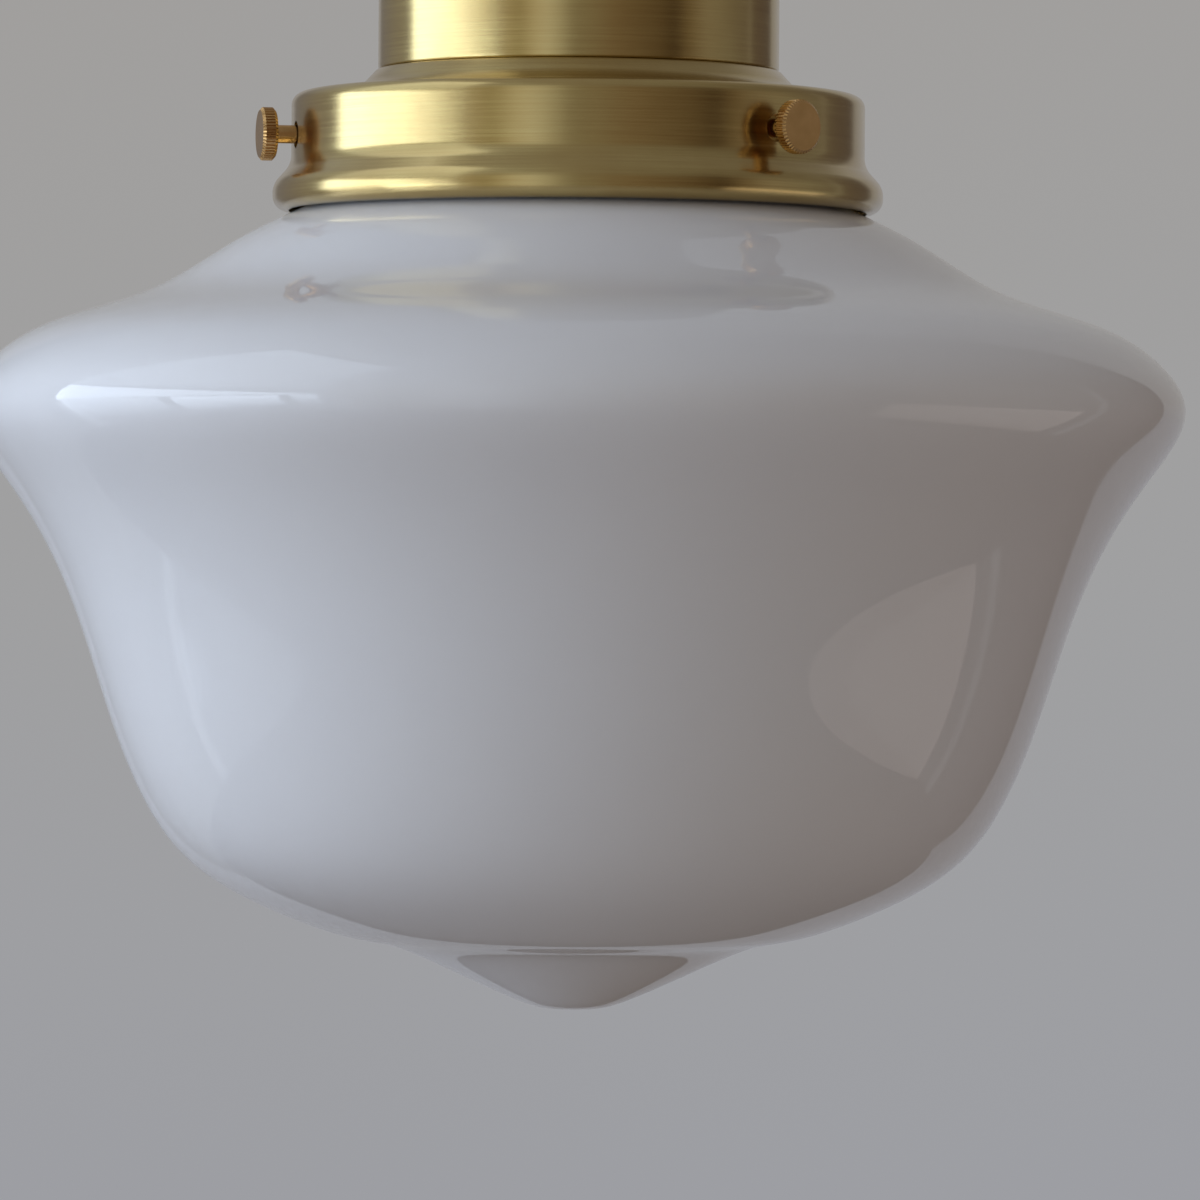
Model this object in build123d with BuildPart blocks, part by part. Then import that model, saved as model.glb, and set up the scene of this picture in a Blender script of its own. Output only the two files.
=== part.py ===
from build123d import *
import os
from math import acos, cos, degrees, pi, radians, sin, sqrt

os.makedirs("parts", exist_ok=True)

# Schoolhouse pendant lamp, in millimetres, +Z up, hanging below its cord inlet.
# The origin is the centre of the cord inlet's mouth, at the very top, so every level is negative.

# Clearances
thread_gap = 0.05
seat_gap = 0.3
quarter_turn = 90.0

# Cord gland
cord_hole_d = 7.2
gland_h = 18.0
gland_flange_d = 19.0
gland_flange_t = 2.5
gland_column_d = 14.0
gland_nut_d = 15.4
gland_nut_h = 10.0
gland_nut_roof = 4.0
gland_nut_edge = 1.2
gland_spigot_d = 12.0
gland_web = 1.4
seal_d = 9.8
seal_h = 4.6
seal_hole_d = 6.6

# Threaded nipple and what it clamps
nipple_d = 10.0
nipple_hole_d = 7.4
nipple_grip = 7.5
washer_d = 18.0
washer_t = 0.7
washer_teeth = 12
washer_notch = 1.4
tag_d = 17.0
tag_t = 0.8
tag_reach = 17.5
tag_w = 6.0
tag_hole_d = 3.4
nut_flats = 14.0
nut_t = 4.0

# Cup
cup_d = 66.0
cup_h = 62.0
cup_wall = 1.0
cup_edge = 3.5
cup_rim_edge = 0.4

# Gallery, the spun brass carrier of the shade
gallery_sheet = 0.8
gallery_h = 23.3
gallery_lip_d = 100.5
lip_flare = 3.05
lip_return = 2.65
step_h = 4.0
step_foot_d = 73.8
step_top_edge = 0.5
cavetto_r = 7.0
shoulder_edge = 2.0
flare_top_h = 7.6
flare_foot_h = 4.2
flare_r = 3.5
bead_top_r = 3.0
bead_r = 2.3
plate_hole_gap = 0.5

# Thumbscrews
screw_count = 3
first_screw_angle = 72.5
screw_h = 12.0
screw_d = 3.0
screw_stand = 6.0
screw_head_d = 8.7
screw_head_t = 2.5
screw_head_edge = 0.5
knurl_teeth = 45
knurl_depth = 0.25
wall_hole_d = 4.4
tip_gap = 0.3
tip_t = 1.5
tip_stem_d = 1.4
tip_stem_h = 2.2
gallery_nut_d = 7.6
gallery_nut_t = 1.9

# Opal glass shade. Each drop is measured down from the gallery's lip.
glass_wall = 3.0
inner_wall_steps = 24
rim_gap = 3.2
rim_overhang = 3.5
rim_h = 3.6
rim_edge = 1.1
neck_turn_r = 5.0
neck_turn_angle = 68.0
neck_turn_h = 5.9
upper_cone_r = 62.0
upper_cone_drop = 8.6
upper_hollow_r = 70.0
upper_hollow_drop = 13.2
shoulder_r = 79.0
shoulder_drop = 16.2
brow_r = 93.0
brow_drop = 22.3
belly_r = 100.0
belly_drop = 31.8
under_belly_r = 94.6
under_belly_drop = 43.0
waist_r = 85.8
waist_drop = 57.2
bowl_r = 79.2
bowl_drop = 74.5
bowl_side_r = 73.8
bowl_side_drop = 90.1
bowl_turn_r = 63.8
bowl_turn_drop = 106.4
keel_r = 45.0
keel_drop = 116.7
tip_cone_r = 31.0
tip_cone_drop = 120.6
tip_turn_r = 10.5
tip_turn_drop = 129.1
tip_drop = 131.1

# Lampholder, size E27
holder_below_plate = 19.7
cap_h = 22.0
cap_neck_h = 7.0
cap_neck_d = 16.4
cap_wall = 2.0
cap_spigot_h = 5.0
cap_spigot_wall = 1.6
cap_dome_r = 7.0
cap_joint_h = 2.0
barrel_collar_d = 41.0
barrel_collar_foot = 28.0
barrel_d = 39.2
barrel_wall = 2.2
barrel_mouth_d = 29.0
barrel_mouth_t = 1.6
barrel_step_h = 29.0
shade_ring_d = 57.0
shade_ring_flange_t = 1.6
shade_ring_collar_d = 46.0
shade_ring_h = 6.0
ring_notches = 16
ring_notch_d = 5.0
insert_flange_t = 2.0
insert_boss_d = 30.0
insert_boss_h = 2.0
block_l = 25.0
block_w = 12.0
block_h = 6.0
shell_d = 28.0
shell_wall = 0.5
shell_h = 21.0
shell_window_d = 14.0
terminal_spread = 17.0
terminal_screw_d = 3.0
terminal_screw_h = 4.0
terminal_head_d = 5.6
terminal_head_h = 1.8
lock_screw_d = 3.0
lock_screw_h = 3.0
slot_w = 0.6
slot_depth = 0.8
leaf_w = 6.0
leaf_root = 6.0
leaf_bend = 4.0
leaf_t = 0.4
leaf_drop = 2.6
leaf_lift = 1.2

# LED bulb, size A60 with an E27 cap
bulb_d = 60.0
bulb_h = 105.0
bulb_cap_d = 26.4
bulb_cap_h = 21.5
bulb_cap_wall = 0.5
bulb_insulator_h = 3.5
bulb_insulator_d = 11.0
bulb_contact_d = 9.6
bulb_contact_h = 1.0
bulb_collar_d = 27.6
bulb_collar_h = 10.0
bulb_spigot_h = 6.0
bulb_body_h = 34.0
bulb_body_skirt = 6.0
bulb_body_bend = 12.0
bulb_body_wall = 2.0
bulb_globe_wall = 1.2
bulb_board_d = 44.0
bulb_board_t = 1.6

# Levels down the lamp
cup_top_z = -gland_h
plate_z = cup_top_z - cup_h
lip_z = plate_z - gallery_h
screw_z = lip_z + screw_h
holder_mouth_z = plate_z - holder_below_plate
barrel_step_z = holder_mouth_z + barrel_step_h
insert_foot_z = barrel_step_z - insert_boss_h
flange_top_z = barrel_step_z + insert_flange_t
cap_foot_z = flange_top_z + cap_spigot_h
holder_top_z = cap_foot_z + cap_h

# Widths that follow the gallery's lip: its wall and mouth, the screws' reach, the glass rim and neck
gallery_wall_d = gallery_lip_d - 2 * lip_flare
gallery_mouth_d = gallery_lip_d - 2 * lip_return
screw_reach = gallery_wall_d / 2 + screw_stand
rim_d = gallery_wall_d - 2 * rim_gap
neck_d = rim_d - 2 * rim_overhang


def save(piece, name):
    piece.part.label = name
    export_step(piece.part, f"parts/{name}.step")


# Gland nut: a domed cap that squeezes the seal round the cord.
nut_foot_z = -gland_nut_h
with BuildPart() as gland_nut:
    with BuildSketch(Plane.XY.offset(nut_foot_z)):
        Circle(gland_nut_d / 2)
    extrude(amount=gland_nut_h)
    fillet(gland_nut.edges().group_by(Axis.Z)[-1], gland_nut_edge)
    with BuildSketch(Plane.XY.offset(nut_foot_z)):
        Circle(gland_spigot_d / 2 + thread_gap)
    extrude(amount=gland_nut_h - gland_nut_roof, mode=Mode.SUBTRACT)
    Hole(cord_hole_d / 2)
save(gland_nut, "gland_nut")

# Seal: a rubber ring in the body's socket, pressed by the nut's roof.
seal_top_z = -gland_nut_roof
seal_foot_z = seal_top_z - seal_h
with BuildPart() as gland_seal:
    with BuildSketch(Plane.XY.offset(seal_foot_z)):
        Circle(seal_d / 2)
        Circle(seal_hole_d / 2, mode=Mode.SUBTRACT)
    extrude(amount=seal_h)
save(gland_seal, "gland_seal")

# Gland body: flange on the cup, column, threaded spigot with the seal's socket.
spigot_top_z = seal_top_z - seat_gap
column_top_z = nut_foot_z - seat_gap
with BuildPart() as gland_body:
    with BuildSketch(Plane.XY.offset(cup_top_z)):
        Circle(gland_flange_d / 2)
    extrude(amount=gland_flange_t)
    chamfer(gland_body.edges().group_by(Axis.Z)[-1], gland_flange_t / 4)
    with BuildSketch(Plane.XY.offset(cup_top_z)):
        Circle(gland_column_d / 2)
    extrude(amount=column_top_z - cup_top_z)
    with BuildSketch(Plane.XY.offset(column_top_z)):
        Circle(gland_spigot_d / 2)
    extrude(amount=spigot_top_z - column_top_z)
    with BuildSketch(Plane.XY.offset(spigot_top_z)):
        Circle(seal_d / 2 + thread_gap)
    extrude(amount=seal_foot_z - spigot_top_z, mode=Mode.SUBTRACT)
    with BuildSketch(Plane.XY.offset(cup_top_z)):
        Circle(nipple_d / 2)
    extrude(amount=seal_foot_z - gland_web - cup_top_z, mode=Mode.SUBTRACT)
    with BuildSketch(Plane.XY.offset(cup_top_z)):
        Circle(cord_hole_d / 2)
    extrude(amount=gland_h, mode=Mode.SUBTRACT)
save(gland_body, "gland_body")

# Nipple: the threaded tube that carries the lampholder and lets the cord through.
nipple_top_z = cup_top_z + nipple_grip
nipple_foot_z = holder_top_z - nipple_grip
with BuildPart() as nipple:
    with BuildSketch(Plane.XY.offset(nipple_foot_z)):
        Circle(nipple_d / 2 - thread_gap)
        Circle(nipple_hole_d / 2, mode=Mode.SUBTRACT)
    extrude(amount=nipple_top_z - nipple_foot_z)
save(nipple, "nipple")

# Lock washer with outward teeth, under the cup's top.
cup_roof_z = cup_top_z - cup_wall
washer_foot_z = cup_roof_z - washer_t
with BuildPart() as lock_washer:
    with BuildSketch(Plane.XY.offset(washer_foot_z)):
        Circle(washer_d / 2)
        Circle(nipple_d / 2 + thread_gap, mode=Mode.SUBTRACT)
        with PolarLocations(washer_d / 2, washer_teeth):
            Rectangle(2 * washer_notch, washer_notch, mode=Mode.SUBTRACT)
    extrude(amount=washer_t)
save(lock_washer, "lock_washer")

# Earth tag: a ring under the washer with a drilled tongue.
tag_foot_z = washer_foot_z - tag_t
with BuildPart() as earth_tag:
    with BuildSketch(Plane.XY.offset(tag_foot_z)):
        Circle(tag_d / 2)
        with Locations((tag_reach / 2, 0)):
            Rectangle(tag_reach, tag_w)
        Circle(nipple_d / 2 + thread_gap, mode=Mode.SUBTRACT)
        with Locations((tag_reach - tag_w / 2, 0)):
            Circle(tag_hole_d / 2, mode=Mode.SUBTRACT)
    extrude(amount=tag_t)
save(earth_tag, "earth_tag")

# Hexagon nut that clamps washer and tag to the cup.
with BuildPart() as hex_nut:
    with BuildSketch(Plane.XY.offset(tag_foot_z - nut_t)):
        RegularPolygon(nut_flats / 2, 6, major_radius=False)
        Circle(nipple_d / 2, mode=Mode.SUBTRACT)
    extrude(amount=nut_t)
save(hex_nut, "hex_nut")

# Cup: drawn brass, flat top with a rounded edge, open below.
with BuildPart() as cup:
    with BuildSketch(Plane.XY.offset(plate_z)):
        Circle(cup_d / 2)
    extrude(amount=cup_h)
    fillet(cup.edges().group_by(Axis.Z)[-1], cup_edge)
    offset(amount=-cup_wall, openings=cup.faces().sort_by(Axis.Z)[0])
    with Locations((0, 0, cup_top_z)):
        Hole(nipple_d / 2 + thread_gap)
    chamfer(cup.faces().sort_by(Axis.Z)[0].outer_wire().edges(), cup_rim_edge)
save(cup, "cup")

# Gallery: one sheet turned from the plate's hole over the step, shoulder and wall to the rolled lip.
plate_hole_r = barrel_d / 2 + plate_hole_gap
shoulder_z = plate_z - step_h
with BuildPart() as gallery:
    with BuildSketch(Plane.XZ):
        with BuildLine():
            FilletPolyline(
                (plate_hole_r, plate_z),
                (cup_d / 2 + step_top_edge / 2, plate_z),
                (step_foot_d / 2, shoulder_z),
                (gallery_wall_d / 2, shoulder_z),
                (gallery_wall_d / 2, lip_z + flare_top_h),
                (gallery_lip_d / 2, lip_z + flare_foot_h),
                (gallery_lip_d / 2, lip_z),
                (gallery_mouth_d / 2, lip_z),
                radius=[step_top_edge, cavetto_r, shoulder_edge, flare_r, bead_top_r, bead_r],
            )
            offset(amount=gallery_sheet, side=Side.RIGHT)
        make_face()
    revolve(axis=Axis.Z)


def screw_plane(index, radius):
    """The plane square to a thumbscrew's axis, at a distance from the lamp's axis, facing outward."""
    angle = radians(first_screw_angle + index * 360 / screw_count)
    outward = (cos(angle), sin(angle), 0)
    centre = (radius * outward[0], radius * outward[1], screw_z)
    return Plane(origin=centre, x_dir=(-sin(angle), cos(angle), 0), z_dir=outward)


with gallery:
    for index in range(screw_count):
        with BuildSketch(screw_plane(index, rim_d / 2)):
            Circle(wall_hole_d / 2)
        extrude(amount=(gallery_lip_d - rim_d) / 2, mode=Mode.SUBTRACT)
save(gallery, "gallery")

# Tapped nuts riveted to the inside of the gallery's wall.
gallery_inner_r = gallery_wall_d / 2 - gallery_sheet
gallery_nut_r = gallery_inner_r - gallery_nut_t
with BuildPart() as gallery_nuts:
    for index in range(screw_count):
        with BuildSketch(screw_plane(index, gallery_nut_r)):
            Circle(gallery_nut_d / 2)
        extrude(amount=gallery_nut_t)
    with BuildSketch(Plane.XY.offset(screw_z - gallery_nut_d)):
        Circle(gallery_inner_r)
    extrude(amount=2 * gallery_nut_d, mode=Mode.INTERSECT)
    for index in range(screw_count):
        with BuildSketch(screw_plane(index, gallery_nut_r)):
            Circle(screw_d / 2 + thread_gap)
        extrude(amount=2 * gallery_nut_t, mode=Mode.SUBTRACT)
save(gallery_nuts, "gallery_nuts")

# Thumbscrews: a straight-knurled head on a plain shank, bored at its end for the swivel tip.
neck_r = neck_d / 2
tip_r = neck_r + tip_gap
shank_end_r = tip_r + tip_t + thread_gap
head_r = screw_reach - screw_head_t
knurl = []
for step in range(2 * knurl_teeth):
    turn = pi * step / knurl_teeth
    reach = screw_head_d / 2 - (step % 2) * knurl_depth
    knurl.append((reach * cos(turn), reach * sin(turn)))

for index in range(screw_count):
    with BuildPart() as thumbscrew:
        with BuildSketch(screw_plane(index, head_r)):
            Circle(screw_head_d / 2)
        extrude(amount=screw_head_t)
        chamfer(thumbscrew.edges().filter_by(GeomType.CIRCLE), screw_head_edge)
        with BuildSketch(screw_plane(index, head_r)):
            Polygon(*knurl, align=None)
        extrude(amount=screw_head_t, mode=Mode.INTERSECT)
        with BuildSketch(screw_plane(index, shank_end_r)):
            Circle(screw_d / 2)
        extrude(amount=head_r - shank_end_r)
        with BuildSketch(screw_plane(index, shank_end_r)):
            Circle(tip_stem_d / 2 + thread_gap)
        extrude(amount=tip_stem_h + thread_gap, mode=Mode.SUBTRACT)
    save(thumbscrew, f"thumbscrew_{index + 1}")

    with BuildPart() as screw_tip:
        with BuildSketch(screw_plane(index, tip_r)):
            Circle(screw_d / 2 - thread_gap)
        extrude(amount=tip_t)
        with BuildSketch(screw_plane(index, tip_r + tip_t)):
            Circle(tip_stem_d / 2)
        extrude(amount=tip_stem_h)
    save(screw_tip, f"screw_tip_{index + 1}")

# Glass shade: a blown wall of even thickness below a flanged neck that hangs on the thumbscrews.
rim_foot_z = screw_z + screw_d / 2 + seat_gap
rim_top_z = rim_foot_z + rim_h
neck_turn_z = lip_z + neck_turn_h
with BuildPart() as glass_shade:
    with BuildSketch(Plane.XZ):
        with BuildLine():
            Line((neck_r, rim_top_z), (neck_r, neck_turn_z))
            neck_turn = JernArc((neck_r, neck_turn_z), (0, -1), neck_turn_r, neck_turn_angle)
            outer_wall = Spline(
                neck_turn @ 1,
                (upper_cone_r, lip_z - upper_cone_drop),
                (upper_hollow_r, lip_z - upper_hollow_drop),
                (shoulder_r, lip_z - shoulder_drop),
                (brow_r, lip_z - brow_drop),
                (belly_r, lip_z - belly_drop),
                (under_belly_r, lip_z - under_belly_drop),
                (waist_r, lip_z - waist_drop),
                (bowl_r, lip_z - bowl_drop),
                (bowl_side_r, lip_z - bowl_side_drop),
                (bowl_turn_r, lip_z - bowl_turn_drop),
                (keel_r, lip_z - keel_drop),
                (tip_cone_r, lip_z - tip_cone_drop),
                (tip_turn_r, lip_z - tip_turn_drop),
                (0, lip_z - tip_drop),
                tangents=[neck_turn % 1, (-1, 0)],
            )
            inner_points = []
            for step in range(inner_wall_steps + 1):
                along = step / inner_wall_steps
                across = (outer_wall % along).rotate(Axis.Z, -quarter_turn)
                inner_points.append(outer_wall @ along + across * glass_wall)
            inner_points[-1] = (0, lip_z - tip_drop + glass_wall)
            Spline(*inner_points, tangents=[neck_turn % 1, (-1, 0)])
            inner_neck_r = neck_r - glass_wall
            JernArc((inner_neck_r, neck_turn_z), (0, -1), neck_turn_r + glass_wall, neck_turn_angle)
            Line((inner_neck_r, neck_turn_z), (inner_neck_r, rim_top_z))
            Line((inner_neck_r, rim_top_z), (neck_r, rim_top_z))
            Line((0, lip_z - tip_drop), (0, lip_z - tip_drop + glass_wall))
        make_face()
    revolve(axis=Axis.Z)
    rim_inner_r = neck_r - glass_wall / 2
    rim_w = rim_d / 2 - rim_inner_r
    with BuildSketch(Plane.XZ) as rim_section:
        with Locations((rim_inner_r + rim_w / 2, rim_foot_z + rim_h / 2)):
            Rectangle(rim_w, rim_h)
        chamfer(rim_section.vertices().group_by(Axis.X)[-1], rim_edge)
    revolve(axis=Axis.Z)
save(glass_shade, "glass_shade")

# Lampholder cap: a domed top with a threaded neck and a spigot that screws into the barrel.
collar_r = barrel_collar_d / 2
collar_inner_r = collar_r - barrel_wall
dome_top_z = holder_top_z - cap_neck_h
dome_roof_z = dome_top_z - cap_wall
cap_inner_r = collar_r - cap_wall
cap_joint_z = cap_foot_z + cap_joint_h
cap_spigot_r = collar_inner_r - thread_gap
cap_spigot_inner_r = cap_spigot_r - cap_spigot_wall
lock_screw_z = holder_top_z - cap_neck_h / 2
lock_screw_axis = Plane(origin=(0, 0, lock_screw_z), x_dir=(0, 1, 0), z_dir=(1, 0, 0))
with BuildPart() as holder_cap:
    with BuildSketch(Plane.XZ) as cap_section:
        with BuildLine():
            Polyline(
                (nipple_d / 2, holder_top_z),
                (cap_neck_d / 2, holder_top_z),
                (cap_neck_d / 2, dome_top_z),
                (collar_r, dome_top_z),
                (collar_r, cap_foot_z),
                (cap_spigot_r, cap_foot_z),
                (cap_spigot_r, flange_top_z),
                (cap_spigot_inner_r, flange_top_z),
                (cap_spigot_inner_r, cap_joint_z),
                (cap_inner_r, cap_joint_z),
                (cap_inner_r, dome_roof_z),
                (nipple_d / 2, dome_roof_z),
                close=True,
            )
        make_face()
        fillet(cap_section.vertices().sort_by_distance((collar_r, dome_top_z, 0))[0], cap_dome_r)
        inner_corner = cap_section.vertices().sort_by_distance((cap_inner_r, dome_roof_z, 0))[0]
        chamfer(inner_corner, cap_dome_r - cap_wall)
    revolve(axis=Axis.Z)
    with BuildSketch(lock_screw_axis):
        Circle(lock_screw_d / 2 + thread_gap)
    extrude(amount=cap_neck_d, mode=Mode.SUBTRACT)
save(holder_cap, "holder_cap")

# Grub screw that locks the cap on the nipple.
with BuildPart() as cap_lock_screw:
    with BuildSketch(lock_screw_axis.offset(nipple_d / 2)):
        Circle(lock_screw_d / 2)
    extrude(amount=lock_screw_h)
    with BuildSketch(lock_screw_axis.offset(nipple_d / 2 + lock_screw_h)):
        Rectangle(lock_screw_d, slot_w)
    extrude(amount=-slot_depth, mode=Mode.SUBTRACT)
save(cap_lock_screw, "cap_lock_screw")

# Lampholder barrel: collar round the insert, thread through the gallery's plate, mouth for the bulb.
barrel_r = barrel_d / 2
collar_foot_z = holder_mouth_z + barrel_collar_foot
mouth_top_z = holder_mouth_z + barrel_mouth_t
with BuildPart() as holder_barrel:
    with BuildSketch(Plane.XZ):
        with BuildLine():
            Polyline(
                (barrel_collar_d / 2, cap_foot_z),
                (barrel_collar_d / 2, collar_foot_z),
                (barrel_r, collar_foot_z),
                (barrel_r, holder_mouth_z),
                (barrel_mouth_d / 2, holder_mouth_z),
                (barrel_mouth_d / 2, mouth_top_z),
                (barrel_r - barrel_wall, mouth_top_z),
                (barrel_r - barrel_wall, barrel_step_z),
                (collar_inner_r, barrel_step_z),
                (collar_inner_r, cap_foot_z),
                close=True,
            )
        make_face()
    revolve(axis=Axis.Z)
save(holder_barrel, "holder_barrel")

# Shade ring: screws up the barrel and presses the gallery's plate against the cup's rim.
ring_top_z = plate_z - gallery_sheet
with BuildPart() as shade_ring:
    with BuildSketch(Plane.XY.offset(ring_top_z - shade_ring_flange_t)):
        Circle(shade_ring_d / 2)
        with PolarLocations(shade_ring_d / 2 + ring_notch_d / 4, ring_notches):
            Circle(ring_notch_d / 2, mode=Mode.SUBTRACT)
    extrude(amount=shade_ring_flange_t)
    with BuildSketch(Plane.XY.offset(ring_top_z - shade_ring_h)):
        Circle(shade_ring_collar_d / 2)
    extrude(amount=shade_ring_h)
    with BuildSketch(Plane.XY.offset(ring_top_z - shade_ring_h)):
        Circle(barrel_r + thread_gap)
    extrude(amount=shade_ring_h, mode=Mode.SUBTRACT)
save(shade_ring, "shade_ring")

# Ceramic insert: a flange on the barrel's step, a boss for the shell, a block for the terminals.
block_top_z = flange_top_z + block_h
with BuildPart() as holder_insert:
    with BuildSketch(Plane.XY.offset(insert_foot_z)):
        Circle(insert_boss_d / 2)
    extrude(amount=insert_boss_h)
    with BuildSketch(Plane.XY.offset(barrel_step_z)):
        Circle(collar_inner_r - seat_gap)
    extrude(amount=insert_flange_t)
    with BuildSketch(Plane.XY.offset(flange_top_z)):
        RectangleRounded(block_l, block_w, block_w / 4)
    extrude(amount=block_h)
    with Locations(Plane.XY.offset(block_top_z)):
        with GridLocations(terminal_spread, 0, 2, 1):
            Hole(terminal_screw_d / 2 + thread_gap, depth=terminal_screw_h)
save(holder_insert, "holder_insert")

# Terminal screws for the live and neutral cores.
with BuildPart() as terminal_screws:
    with BuildSketch(Plane.XY.offset(block_top_z - terminal_screw_h)):
        with GridLocations(terminal_spread, 0, 2, 1):
            Circle(terminal_screw_d / 2)
    extrude(amount=terminal_screw_h)
    with BuildSketch(Plane.XY.offset(block_top_z)):
        with GridLocations(terminal_spread, 0, 2, 1):
            Circle(terminal_head_d / 2)
    extrude(amount=terminal_head_h)
    with BuildSketch(Plane.XY.offset(block_top_z + terminal_head_h)):
        with GridLocations(terminal_spread, 0, 2, 1):
            Rectangle(terminal_head_d, slot_w)
    extrude(amount=-slot_depth, mode=Mode.SUBTRACT)
save(terminal_screws, "terminal_screws")

# Screw shell: the brass sleeve that takes the bulb's cap, with a window for the centre contact.
shell_foot_z = insert_foot_z - shell_h
with BuildPart() as screw_shell:
    with BuildSketch(Plane.XY.offset(shell_foot_z)):
        Circle(shell_d / 2)
    extrude(amount=shell_h)
    offset(amount=-shell_wall, openings=screw_shell.faces().sort_by(Axis.Z)[0])
    with BuildSketch(Plane.XY.offset(insert_foot_z)):
        Circle(shell_window_d / 2)
    extrude(amount=-shell_wall, mode=Mode.SUBTRACT)
save(screw_shell, "screw_shell")

# Centre contact: a bent leaf under the insert, springing down to the bulb's contact.
leaf_low_z = insert_foot_z - leaf_t - leaf_drop
with BuildPart() as centre_contact:
    with BuildSketch(Plane.XZ):
        with BuildLine():
            Polyline(
                (-leaf_root, insert_foot_z),
                (-leaf_bend, insert_foot_z),
                (0, leaf_low_z + leaf_t),
                (leaf_bend, leaf_low_z + leaf_t + leaf_lift),
            )
            offset(amount=leaf_t, side=Side.RIGHT)
        make_face()
    extrude(amount=leaf_w / 2, both=True)
save(centre_contact, "centre_contact")

# Bulb contact and the insulator under it.
bulb_top_z = leaf_low_z - seat_gap
insulator_top_z = bulb_top_z - bulb_contact_h
bulb_cap_top_z = insulator_top_z - bulb_insulator_h
with BuildPart() as bulb_contact:
    with BuildSketch(Plane.XY.offset(insulator_top_z)):
        Circle(bulb_contact_d / 2)
    extrude(amount=bulb_contact_h)
    chamfer(bulb_contact.edges().group_by(Axis.Z)[-1], bulb_contact_h / 2)
save(bulb_contact, "bulb_contact")

bulb_cap_r = bulb_cap_d / 2
insulator_foot_r = bulb_cap_r - bulb_insulator_h / 2
with BuildPart() as bulb_insulator:
    with BuildSketch(Plane.XZ):
        Polygon(
            (0, bulb_cap_top_z),
            (insulator_foot_r, bulb_cap_top_z),
            (bulb_insulator_d / 2, insulator_top_z),
            (0, insulator_top_z),
            align=None,
        )
    revolve(axis=Axis.Z)
save(bulb_insulator, "bulb_insulator")

# Bulb cap: a thin sleeve with a holed top.
bulb_cap_foot_z = bulb_cap_top_z - bulb_cap_h
with BuildPart() as bulb_cap:
    with BuildSketch(Plane.XY.offset(bulb_cap_foot_z)):
        Circle(bulb_cap_r)
    extrude(amount=bulb_cap_h)
    offset(amount=-bulb_cap_wall, openings=bulb_cap.faces().sort_by(Axis.Z)[0])
    with BuildSketch(Plane.XY.offset(bulb_cap_top_z)):
        Circle(bulb_contact_d / 2)
    extrude(amount=-bulb_cap_wall, mode=Mode.SUBTRACT)
save(bulb_cap, "bulb_cap")

# Bulb body: a flared plastic housing with a spigot in the cap and a floor for the board.
globe_r = bulb_d / 2
globe_z = bulb_top_z - bulb_h + globe_r
body_foot_z = bulb_cap_foot_z - bulb_body_h
body_foot_r = sqrt(globe_r**2 - (body_foot_z - globe_z) ** 2)
with BuildPart() as bulb_body:
    with BuildSketch(Plane.XZ):
        with BuildLine():
            FilletPolyline(
                (bulb_collar_d / 2, bulb_cap_foot_z),
                (bulb_collar_d / 2, bulb_cap_foot_z - bulb_collar_h),
                (body_foot_r, body_foot_z + bulb_body_skirt),
                (body_foot_r, body_foot_z),
                radius=[bulb_body_bend, bulb_body_bend / 2],
            )
            Polyline(
                (body_foot_r, body_foot_z),
                (0, body_foot_z),
                (0, bulb_cap_foot_z),
                (bulb_collar_d / 2, bulb_cap_foot_z),
            )
        make_face()
    revolve(axis=Axis.Z)
    offset(amount=-bulb_body_wall, openings=bulb_body.faces().sort_by(Axis.Z)[-1])
    spigot_inner_r = bulb_cap_r - bulb_cap_wall - bulb_body_wall
    with BuildSketch(Plane.XY.offset(bulb_cap_foot_z - bulb_body_wall)):
        Circle(bulb_collar_d / 2 - bulb_body_wall / 2)
        Circle(spigot_inner_r, mode=Mode.SUBTRACT)
    extrude(amount=bulb_body_wall)
    with BuildSketch(Plane.XY.offset(bulb_cap_foot_z)):
        Circle(bulb_cap_r - bulb_cap_wall - thread_gap)
        Circle(spigot_inner_r, mode=Mode.SUBTRACT)
    extrude(amount=bulb_spigot_h)
save(bulb_body, "bulb_body")

# Light board on the floor of the bulb's body, inside the globe.
with BuildPart() as led_board:
    with BuildSketch(Plane.XY.offset(body_foot_z - bulb_board_t)):
        Circle(bulb_board_d / 2)
    extrude(amount=bulb_board_t)
save(led_board, "led_board")

# Bulb globe: a thin frosted ball cut open where it meets the body.
globe_inner_r = globe_r - bulb_globe_wall
open_angle = degrees(acos(body_foot_r / globe_r))
inner_foot_r = sqrt(globe_inner_r**2 - (body_foot_z - globe_z) ** 2)
inner_open_angle = degrees(acos(inner_foot_r / globe_inner_r))
with BuildPart() as bulb_globe:
    with BuildSketch(Plane.XZ):
        with BuildLine():
            outer_arc = CenterArc((0, globe_z), globe_r, -quarter_turn, quarter_turn + open_angle)
            inner_arc = CenterArc((0, globe_z), globe_inner_r, -quarter_turn, quarter_turn + inner_open_angle)
            Line(outer_arc @ 0, inner_arc @ 0)
            Line(outer_arc @ 1, inner_arc @ 1)
        make_face()
    revolve(axis=Axis.Z)
save(bulb_globe, "bulb_globe")
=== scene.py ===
from math import atan2, ceil, cos, floor, pi, radians, sin, tan

import bmesh
import bpy
from mathutils import Matrix, Vector


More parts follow.
